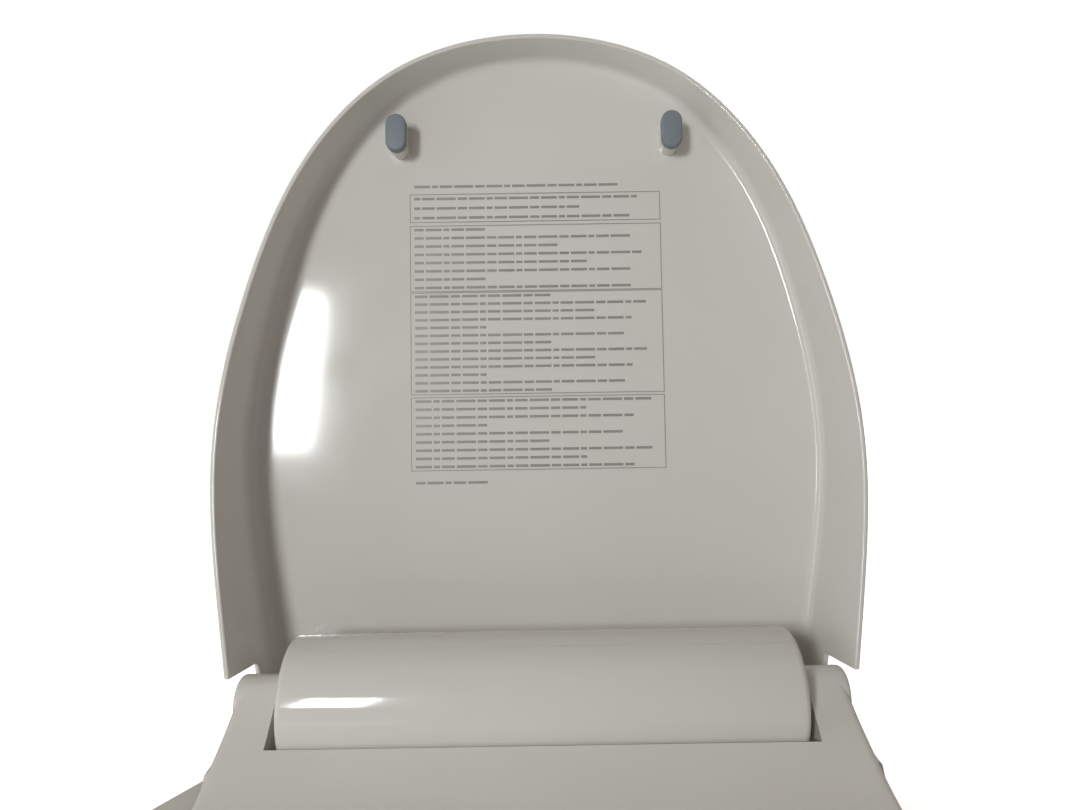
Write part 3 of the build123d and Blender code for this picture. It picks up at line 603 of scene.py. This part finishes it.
post = long_round(POST_WIDE, POST_LONG, POST_END, POST_TOP, POST_ROUND)
cap = long_round(CAP_WIDE, CAP_LONG, POST_END - CAP_HEIGHT, POST_END, CAP_ROUND)
posts = [copy_at(post, side * BUMPER_X, -BUMPER_REACH) for side in (-1, 1)]
caps = [copy_at(cap, side * BUMPER_X, -BUMPER_REACH) for side in (-1, 1)]
for spare in (post, cap):
    bpy.data.objects.remove(spare)
print(len(posts), "posts and", len(caps), "caps")

# %% [markdown]
# Inside the lid the maker prints a sheet of notes. Here it stays plain: four thin frames with
# rows of short bars, which stand for print without saying anything. They are flat faces, laid
# on the bowed panel with Shrinkwrap and given the thickness of ink.

# %% Printed frames
PRINT_HALF, PRINT_LEVEL = 0.084, 0.05
FRAMES = ((0.2983, 0.3177), (0.2514, 0.2962), (0.1825, 0.2510), (0.1323, 0.1810))
LOOSE_ROWS = ((0.1205, 0.1285), (0.3190, 0.3265))  # outside the frames
FRAME_LINE, PRINT_MARGIN = 0.0005, 0.003
ROW_STEP, BAR_HEIGHT = 0.00475, 0.0017
ROW_REACH = (0.97, 0.62, 0.88, 0.35, 0.93, 0.74)  # share of the width that a row fills
SHORT_BAR, BAR_STEP, BAR_GAP, ROW_SPARE = 0.004, 0.0022, 0.0013, 0.012
INK_LIFT, INK_THICK = 0.00012, 0.00008


def print_face(x0, x1, y0, y1):
    """In edit mode, a flat face between these sides, just in front of the panel."""
    flat_face(((x0 + x1) / 2, (y0 + y1) / 2, PRINT_LEVEL), x1 - x0, y1 - y0)


printing = empty_piece()
for near, far in FRAMES:
    print_face(-PRINT_HALF, PRINT_HALF, -far, -near)
bpy.ops.mesh.select_all(action="SELECT")
bpy.ops.mesh.inset(thickness=FRAME_LINE, depth=0, use_individual=True)
bpy.ops.mesh.delete(type="FACE")
rows = 0
for near, far in FRAMES + LOOSE_ROWS:
    count = max(1, int((far - near - PRINT_MARGIN) / ROW_STEP))
    for row in range(count):
        middle = -(far - (row + 0.5) * (far - near) / count)
        reach = ROW_REACH[rows * 5 % 6]
        x, word = -PRINT_HALF + PRINT_MARGIN, rows
        while x < -PRINT_HALF + reach * 2 * PRINT_HALF - ROW_SPARE:
            long = SHORT_BAR + BAR_STEP * ((word * 7 + row * 3) % 5)
            print_face(x, x + long, middle - BAR_HEIGHT / 2, middle + BAR_HEIGHT / 2)
            x += long + BAR_GAP
            word += 1
        rows += 1
bpy.ops.object.mode_set(mode="OBJECT")
modify(printing, "SHRINKWRAP", target=lid, wrap_method="PROJECT", use_project_z=True,
       use_negative_direction=True, use_positive_direction=True, offset=INK_LIFT,
       wrap_mode="ABOVE_SURFACE")
modify(printing, "SOLIDIFY", thickness=INK_THICK, offset=1.0)
print(rows, "rows of print,", len(printing.data.polygons), "faces")

# %% [markdown]
# So far the lid lies flat with its hinge at the origin. It is turned and moved to the hinge line,
# leaning back past upright, and the turn is applied so that its place is in its mesh. Plates and
# posts are one moulding with the lid, so they are joined to it first.

# %% Stand the lid up
def stand_up(*pieces):
    """Turn these flat-lying pieces up about the hinge, and apply the turn."""
    for piece in pieces:
        piece.rotation_euler = (-(pi / 2 + LID_LEAN), 0, 0)
        piece.location = hinge
        only(piece)
        bpy.ops.object.transform_apply(location=True, rotation=True, scale=True)


lid = join(lid, *tabs, *posts)
bumpers = join(*caps)
stand_up(lid, bumpers, printing)
finish_piece(lid, "lid_moulding", "lid", "ivory", "lid_shell")
finish_piece(bumpers, "bumper_caps", "lid", "grey_rubber", "lid_bumpers")
finish_piece(printing, "lid_print", "lid", "grey_rubber")
printing.data.materials[0] = finishes["print_grey"]

# %% [markdown]
# ## The barrel
# The hinge cover is a long half-hidden cylinder with rounded ends. Near its top a fine groove
# shows where the front shell meets the rear one. The cylinder is cut flat where it stands on the
# deck, and the groove is a narrow strip of faces, cut out with two bisects and pushed inwards.

# %% Barrel
DECK, BARREL_R, BARREL_ROUND = 0.072, 0.038, 0.004
GROOVE, GROOVE_HALF, GROOVE_DEPTH = radians(107.0), 0.00035, 0.0005
clear()
bpy.ops.mesh.primitive_cylinder_add(vertices=160, radius=BARREL_R, depth=2 * barrel_half,
                                    location=hinge, rotation=(0, pi / 2, 0))
barrel = bpy.context.object
bpy.ops.object.transform_apply(location=True, rotation=True, scale=True)
pick(barrel, "EDGE", lambda a, b: min(abs(a.x), abs(b.x)) > barrel_half - NEAR and a.x * b.x > 0)
bpy.ops.mesh.bevel(offset=BARREL_ROUND, segments=6)
for shift in (-GROOVE_HALF, GROOVE_HALF):
    turn = GROOVE + shift / BARREL_R
    cut(barrel, hinge, (0, -sin(turn), cos(turn)))
bpy.ops.object.mode_set(mode="OBJECT")


def in_groove(centre, normal):
    """Whether a face of the barrel's skin lies between the two cuts."""
    y, z = centre.y - hinge.y, centre.z - hinge.z
    turn = np.arctan2(z, y)
    return abs(turn - GROOVE) < GROOVE_DEPTH / BARREL_R and sqrt(y * y + z * z) > 0.03


found = pick(barrel, "FACE", in_groove)
bpy.ops.mesh.extrude_region_move()
bpy.ops.transform.translate(value=(0, -GROOVE_DEPTH * cos(GROOVE), -GROOVE_DEPTH * sin(GROOVE)))
everything(barrel)
bpy.ops.mesh.bisect(plane_co=(0, 0, DECK), plane_no=(0, 0, 1), clear_inner=True, use_fill=True)
tidy_mesh(barrel)
smooth(barrel, 30)
finish_piece(barrel, "barrel_cover", "main_unit", "ivory", "hinge_cover")
print("groove faces", found)

# %% [markdown]
# ## The seat
# The seat is a ring with two arms that reach back round the barrel's ends to the hinge. Seen from
# the side its top sweeps down from the arms to the front. A flat plate of the right plan is made
# first, from a closed curve with a hole, because a curve can round its edges by itself. The plate
# is then cut into narrow strips and each of its points is lifted to the swept height.

# %% Seat heights
SEAT_INSET, SEAT_ROUND, ARM_R, NOTCH_ROOM = 0.0056, 0.005, 0.016, 0.005
half_arm = SEAT_ROOT - SEAT_INSET
notch_x = barrel_half + NOTCH_ROOM
seat_tip = hinge.y - LID_REACH * cos(LID_SLOPE) + SEAT_INSET
HOLE_REAR, HOLE_FRONT, HOLE_HALF = -0.134, -0.386, 0.106
hole_y, hole_long = (HOLE_REAR + HOLE_FRONT) / 2, (HOLE_REAR - HOLE_FRONT) / 2
ARM_TURN = radians(50)
arm_start = (hinge.y - ARM_R * cos(ARM_TURN), hinge.z + ARM_R * sin(ARM_TURN))
crown = [arm_start, (-0.062, 0.1028), (-0.077, 0.0925), (-0.101, 0.0775), (-0.150, 0.062),
         (-0.250, 0.050), (-0.350, 0.0449), (seat_tip - 0.012, 0.044)]
crown_line = sorted(smooth_line(crown, 200))
UNDERSIDE = 0.0146
under_line = sorted([(seat_tip - 0.02, UNDERSIDE), (-0.112, UNDERSIDE), (-0.055, 0.083),
                     (hinge.y, hinge.z - ARM_R)])
LIP_DROP, LIP_WIDE, LIP_START, LIP_FADE = 0.0022, 0.026, -0.11, 0.03
HOLE_MEAN = 0.115  # the hole's mean radius, which turns shares into metres


def seat_top(x, y):
    """Height of the seat's upper face, which dips a little round the hole."""
    if y > arm_start[0]:
        return hinge.z + sqrt(max(0.0, ARM_R**2 - (y - hinge.y) ** 2))
    height = np.interp(y, *zip(*crown_line))
    away = sqrt((x / HOLE_HALF) ** 2 + ((y - hole_y) / hole_long) ** 2) - 1
    if y < LIP_START:
        dip = exp(-(away * HOLE_MEAN / LIP_WIDE) ** 2)
        height -= LIP_DROP * dip * min(1.0, (LIP_START - y) / LIP_FADE)
    return height


def seat_low(y):
    """Height of the seat's lower face."""
    if y > hinge.y:
        return hinge.z - sqrt(max(0.0, ARM_R**2 - (y - hinge.y) ** 2))
    return np.interp(y, *zip(*under_line))


print("seat tip at", round(seat_tip, 4), "top there", round(float(seat_top(0, seat_tip)), 4))

# %% [markdown]
# The plan is the shared outline, drawn in and foreshortened by the closed lid's slope, with the
# rear corners of the arms rounded and an oval hole. It becomes a filled curve, whose bevel rounds
# the rim and the hole's edge alike, and the curve becomes a mesh.

# %% Seat plan
PLATE, ARM_CORNER, HOLE_POINTS = 0.03, 0.004, 144


def fillet_corner(corner, before, after, r, steps=5):
    """Points of a round of radius r at a corner between two square edges."""
    c, a, b = Vector(corner), Vector(before), Vector(after)
    u, w = (a - c).normalized(), (b - c).normalized()
    middle = c + (u + w) * r
    return [tuple(middle - w * r * cos(t) - u * r * sin(t)) for t in
            (pi / 2 * i / steps for i in range(steps + 1))]


arm_end = hinge.y + ARM_R
plan = outline(SEAT_INSET, cos(LID_SLOPE), hinge.y, SEAT_ROOT)
plan += fillet_corner((half_arm, arm_end), (half_arm, -0.06), (0, arm_end), ARM_CORNER)
plan += fillet_corner((-half_arm, arm_end), (0, arm_end), (-half_arm, -0.06), ARM_CORNER)
turns = [2 * pi * i / HOLE_POINTS for i in range(HOLE_POINTS)]
hole = [(HOLE_HALF * cos(t), hole_y + hole_long * sin(t)) for t in turns]
shape = bpy.data.curves.new("seat_plan", "CURVE")
shape.dimensions, shape.fill_mode = "2D", "BOTH"
for loop in (plan, hole):
    line = shape.splines.new("POLY")
    line.points.add(len(loop) - 1)
    for point, (x, y) in zip(line.points, loop):
        point.co = (x, y, 0, 1)
    line.use_cyclic_u = True
shape.bevel_depth, shape.bevel_resolution, shape.offset = SEAT_ROUND, 4, -SEAT_ROUND
shape.extrude = PLATE / 2 - SEAT_ROUND
seat = bpy.data.objects.new("seat", shape)
bpy.context.scene.collection.objects.link(seat)
only(seat)
bpy.ops.object.convert(target="MESH")
seat = bpy.context.object
tidy_mesh(seat)
print("seat plate has", len(seat.data.polygons), "faces")

# %% [markdown]
# The plate's flat faces are long triangles, which couldn't follow a sweep. Cuts every few
# millimetres along and across turn them into a fine grid. Then every point is moved straight up:
# the upper half hangs from the swept top, the lower half stands on the underside.

# %% Sweep the seat
WIDE_STEP, FINE_STEP, CROSS_STEP = 0.008, 0.003, 0.0115
levels = [-0.435 + WIDE_STEP * i for i in range(45)] + [-0.078 + FINE_STEP * i for i in range(19)]
for y in levels:
    cut(seat, (0, y, 0), (0, 1, 0))
for i in range(-15, 16):
    cut(seat, (i * CROSS_STEP, 0, 0), (1, 0, 0))
bpy.ops.object.mode_set(mode="OBJECT")
for v in seat.data.vertices:
    share = min(1.0, max(0.0, v.co.z / PLATE + 0.5))
    high, low = seat_top(v.co.x, v.co.y), seat_low(v.co.y)
    if high - low < PLATE:
        v.co.z = low + share * (high - low)
    elif share > 0.5:
        v.co.z = high - (1 - share) * PLATE
    else:
        v.co.z = low + share * PLATE
tidy_mesh(seat)
print("swept seat has", len(seat.data.polygons), "faces")

# %% [markdown]
# The barrel turns in a notch of the seat with a gap of a millimetre and a half. The notch is cut
# last, with a boolean, by a round bar a little thicker than the barrel and a block behind it, so
# its edges stay crisp, as on the real seat.

# %% Cut the notch
BARREL_GAP, BLOCK_LONG = 0.0015, 0.1
SWEEP_R = BARREL_R + BARREL_GAP
clear()
bpy.ops.mesh.primitive_cylinder_add(vertices=128, radius=SWEEP_R, depth=2 * notch_x,
                                    location=hinge, rotation=(0, pi / 2, 0))
carve(seat, bpy.context.object)
clear()
bpy.ops.mesh.primitive_cube_add(size=1, location=(0, hinge.y + BLOCK_LONG / 2, hinge.z),
                                scale=(2 * notch_x, BLOCK_LONG, 2.02 * SWEEP_R))
carve(seat, bpy.context.object)
print("notched seat has", len(seat.data.polygons), "faces")

# %% [markdown]
# The wand slides out below the notch on a slope, so the seat has a channel through its rear for
# it. The channel is a block on the wand's own line, taken out with one more boolean.

# %% Nozzle channel
NOZZLE_TILT = radians(21)
CHANNEL_SIZE, CHANNEL_AHEAD = (0.030, 0.080, 0.024), 0.02
channel_mouth = Vector((0, -0.104, 0.017))
down_slope = Vector((0, -cos(NOZZLE_TILT), -sin(NOZZLE_TILT)))
clear()
bpy.ops.mesh.primitive_cube_add(size=1, location=channel_mouth + CHANNEL_AHEAD * down_slope,
                                rotation=(NOZZLE_TILT, 0, 0), scale=CHANNEL_SIZE)
carve(seat, bpy.context.object)
smooth(seat, 35)
print("seat with its channel has", len(seat.data.polygons), "faces")

# %% [markdown]
# The seat's arms end in short round knuckles on the hinge line, a little wider than the arms.
# Each is a cylinder sunk into its arm, with its outer edge beveled.

# %% Seat knuckles
KNUCKLE_HALF, KNUCKLE_SUNK, KNUCKLE_ROUND = 0.1762, 0.006, 0.003
knuckles = []
for side in (-1, 1):
    clear()
    middle_x = side * (KNUCKLE_HALF + half_arm - KNUCKLE_SUNK) / 2
    bpy.ops.mesh.primitive_cylinder_add(vertices=96, radius=ARM_R,
                                        depth=KNUCKLE_HALF - half_arm + KNUCKLE_SUNK,
                                        location=(middle_x, hinge.y, hinge.z),
                                        rotation=(0, pi / 2, 0))
    knuckle = bpy.context.object
    bpy.ops.object.transform_apply(location=True, rotation=True, scale=True)
    pick(knuckle, "EDGE", lambda a, b: min(abs(a.x), abs(b.x)) > KNUCKLE_HALF - NEAR)
    bpy.ops.mesh.bevel(offset=KNUCKLE_ROUND, segments=4)
    smooth(knuckle, 35)
    knuckles.append(knuckle)
seat = join(seat, *knuckles)
finish_piece(seat, "seat_ring", "seat", "ivory", "seat_top")


# %% [markdown]
# ## Housings
# The case, the side panel, its keys and the small fittings are plain mouldings whose CAD shape
# is right but knife-edged. A copy of each is merged into one skin, its flat faces are cleaned,
# and its edges get the small round that any mould leaves. That round is what catches the light.

# %% Round off a CAD part
def rounded(node, width):
    """A copy of a CAD part with edges of this width rounded, in place of the part."""
    source = frame["nodes"][node]
    piece = bpy.data.objects.new(node + "_moulding", source.data.copy())
    bpy.context.scene.collection.objects.link(piece)
    tidy_mesh(piece)
    if piece.data.has_custom_normals:
        bpy.ops.mesh.customdata_custom_splitnormals_clear()
    everything(piece)
    bpy.ops.mesh.dissolve_limited(angle_limit=radians(1.0))
    bpy.ops.object.mode_set(mode="OBJECT")
    soft_edges(piece, width, 2, 35.0)
    finish_piece(piece, node + "_moulding", source["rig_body"], slot_of[node], node)


ROUNDS = {"upper_case": 0.0022, "base_case": 0.0012, "panel_lower": 0.0015, "panel_upper": 0.0006,
          "release_button": 0.0003, "filter_cartridge": 0.0005, "mount_plate": 0.0006,
          "seat_bottom": 0.0005, "base_feet": 0.0004, "seat_feet": 0.0006}
ROUNDS.update({node: 0.0004 for node in frame["nodes"] if node.startswith("button_")})
for node, width in ROUNDS.items():
    rounded(node, width)

# %% [markdown]
# Each key carries a small raised sign, so that a thumb can tell them apart: a square to stop, a
# drop over one or two lines for the two washes, three waves of air, and less and more. They are
# flat faces in edit mode, a quarter of a millimetre thick once Solidify has been applied. The
# drop is drawn as a small disc, because no more can be seen at its size.

# %% Signs on the keys
SIGN_THICK, SIGN_LINE, DROP_LIFT = 0.00025, 0.0012, 0.0015
LINES = {
    "button_stop": [(0, 0, 0.0062, 0.0062)],
    "button_rear": [(0, -0.0042, 0.0110, SIGN_LINE)],
    "button_front": [(0, -0.0036, 0.0110, SIGN_LINE), (0, -0.0058, 0.0074, SIGN_LINE)],
    "button_air": [(shift, 0, SIGN_LINE, 0.0075) for shift in (-0.004, 0.0, 0.004)],
    "button_less": [(0, 0, 0.0070, SIGN_LINE)],
    "button_more": [(0, 0, 0.0070, SIGN_LINE), (0, 0.0021, SIGN_LINE, 0.0028),
                    (0, -0.0021, SIGN_LINE, 0.0028)],
}
DROPS = {"button_rear": 0.0026, "button_front": 0.0022}
for key, lines in LINES.items():
    low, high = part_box(key)
    middle, top = (low + high) / 2, high.z
    sign = empty_piece()
    for x, y, wide, tall in lines:
        flat_face((middle.x + x, middle.y + y, top), wide, tall)
    if key in DROPS:
        bpy.ops.mesh.primitive_circle_add(vertices=32, radius=DROPS[key], fill_type="NGON",
                                          location=(middle.x, middle.y + DROP_LIFT, top))
    bpy.ops.object.mode_set(mode="OBJECT")
    modify(sign, "SOLIDIFY", thickness=SIGN_THICK, offset=1.0)
    finish_piece(sign, key.replace("button", "sign"), frame["nodes"][key]["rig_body"], "white_plastic")

# %% [markdown]
# The two bolts that hold the seat to the bowl are threaded from the bowl's rim down. A thread seen from
# a metre away is a run of rings, so a circle is extruded downwards in steps of half a pitch, and
# every other ring is drawn in to the root of the thread. The square neck is a small block.

# %% Mounting bolts
BOLT_R, PITCH, ROOT = 0.004, 0.00125, 0.0033
NECK, NECK_EDGE_R = 0.0086, 0.0004
SHANK, TIP_SHARE = 0.004, 0.92
bolt_low, bolt_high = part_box("mount_bolts")
bolt_x = bolt_high.x - NECK / 2


def make_bolt(side):
    """One bolt, at -1 or 1 side of the middle."""
    centre = (side * bolt_x, 0, 0)
    clear()
    bpy.ops.mesh.primitive_circle_add(vertices=32, radius=BOLT_R, fill_type="NGON", location=centre)
    bolt = bpy.context.object
    bpy.ops.object.transform_apply(location=True, rotation=False, scale=True)
    everything(bolt)
    depth, wide = 0.0, True
    bpy.ops.mesh.extrude_region_move(TRANSFORM_OT_translate={"value": (0, 0, -SHANK)})
    depth -= SHANK
    while depth > bolt_low.z + PITCH:
        bpy.ops.mesh.extrude_region_move(TRANSFORM_OT_translate={"value": (0, 0, -PITCH / 2)})
        size = ROOT / BOLT_R if wide else BOLT_R / ROOT
        bpy.ops.transform.resize(value=(size, size, 1), center_override=(centre[0], 0, depth))
        depth, wide = depth - PITCH / 2, not wide
    bpy.ops.mesh.extrude_region_move(TRANSFORM_OT_translate={"value": (0, 0, bolt_low.z - depth)})
    bpy.ops.transform.resize(value=(TIP_SHARE, TIP_SHARE, 1),
                             center_override=(centre[0], 0, bolt_low.z))
    bpy.ops.object.mode_set(mode="OBJECT")
    clear()
    bpy.ops.mesh.primitive_cube_add(size=1, location=(centre[0], 0, bolt_high.z / 2),
                                    scale=(NECK, NECK, bolt_high.z))
    neck = bpy.context.object
    bpy.ops.object.transform_apply(location=True, rotation=False, scale=True)
    soft_edges(neck, NECK_EDGE_R, segments=2)
    smooth(bolt, 20)
    bolt = join(bolt, neck)
    tidy_mesh(bolt)
    return bolt


bolts = join(make_bolt(-1), make_bolt(1))
finish_piece(bolts, "threaded_bolts", "main_unit", "steel", "mount_bolts")

# %% [markdown]
# ## Floor and light
# The seat is shown on a plain pale floor that fades to white. The fade is a glow that grows with
# the distance from the middle and that only the camera sees, so it lights nothing from below.

# %% Floor
FLOOR_SIZE, FLOOR_GAP = 12.0, 0.0005
FADE_START, FADE_END, FADE_GLOW = 0.12, 0.42, 0.9
clear()
bpy.ops.mesh.primitive_plane_add(size=FLOOR_SIZE, location=(0, 0, cad_low.z - FLOOR_GAP))
floor = bpy.context.object
floor.name = "floor"
floor_finish = bpy.data.materials.new("pale_floor")
floor_finish.use_nodes = True
nodes, links = floor_finish.node_tree.nodes, floor_finish.node_tree.links
shader = nodes["Principled BSDF"]
shader.inputs["Base Color"].default_value = (0.86, 0.86, 0.85, 1)
shader.inputs["Roughness"].default_value = 0.6
shader.inputs["Emission Color"].default_value = (1, 1, 1, 1)
place, far = nodes.new("ShaderNodeTexCoord"), nodes.new("ShaderNodeVectorMath")
far.operation = "LENGTH"
fade = nodes.new("ShaderNodeMapRange")
fade.interpolation_type = "SMOOTHSTEP"
fade.inputs["From Min"].default_value = FADE_START
fade.inputs["From Max"].default_value = FADE_END
fade.inputs["To Max"].default_value = FADE_GLOW
links.new(place.outputs["Object"], far.inputs[0])
links.new(far.outputs["Value"], fade.inputs["Value"])
seen, shown = nodes.new("ShaderNodeLightPath"), nodes.new("ShaderNodeMath")
shown.operation = "MULTIPLY"
links.new(fade.outputs["Result"], shown.inputs[0])
links.new(seen.outputs["Is Camera Ray"], shown.inputs[1])
links.new(shown.outputs["Value"], shader.inputs["Emission Strength"])
floor.data.materials.append(floor_finish)
print("floor at", round(cad_low.z - FLOOR_GAP, 4))

# %% [markdown]
# One tall window-like light from the left front gives the bright patch on the lid and the barrel.
# Three soft fills and a dim warm surround keep the inside of the tray light. Camera rays see a
# white backdrop in place of the surround.

# %% Lights
SURROUND_COLOUR, SURROUND_STRENGTH = (1.0, 0.90, 0.76, 1), 0.185


def area_light(name, place, target, width, height, power, colour):
    """A rectangular light at a place, turned to face the target."""
    data = bpy.data.lights.new(name, "AREA")
    data.shape, data.size, data.size_y = "RECTANGLE", width, height
    data.energy, data.color = power, colour
    light = bpy.data.objects.new(name, data)
    bpy.context.scene.collection.objects.link(light)
    light.location = place
    light.rotation_euler = (Vector(target) - Vector(place)).to_track_quat("-Z", "Y").to_euler()


area_light("window", (-0.66, -1.5, 0.74), (0, 0, 0.25), 0.22, 0.40, 13.0, (0.97, 0.99, 1.0))
area_light("ceiling", (0.3, -0.4, 1.9), (0, 0, 0.2), 1.4, 1.4, 1.7, (1.0, 0.96, 0.88))
area_light("side_fill", (-2.2, -0.9, 0.5), (0, 0, 0.25), 0.8, 1.2, 7.0, (1.0, 0.99, 0.98))
area_light("rear_fill", (0.9, 1.9, 1.3), (0, 0, 0.2), 1.4, 1.4, 16.0, (1.0, 0.98, 0.95))
world = bpy.data.worlds.new("surround")
bpy.context.scene.world = world
world.use_nodes = True
nodes, links = world.node_tree.nodes, world.node_tree.links
surround = nodes["Background"]
surround.inputs["Color"].default_value = SURROUND_COLOUR
surround.inputs["Strength"].default_value = SURROUND_STRENGTH
backdrop = nodes.new("ShaderNodeBackground")
backdrop.inputs["Color"].default_value = (1, 1, 1, 1)
backdrop.inputs["Strength"].default_value = 1.0
path, choose = nodes.new("ShaderNodeLightPath"), nodes.new("ShaderNodeMixShader")
links.new(path.outputs["Is Camera Ray"], choose.inputs["Fac"])
links.new(surround.outputs["Background"], choose.inputs[1])
links.new(backdrop.outputs["Background"], choose.inputs[2])
links.new(choose.outputs["Shader"], nodes["World Output"].inputs["Surface"])
print("lights ready")
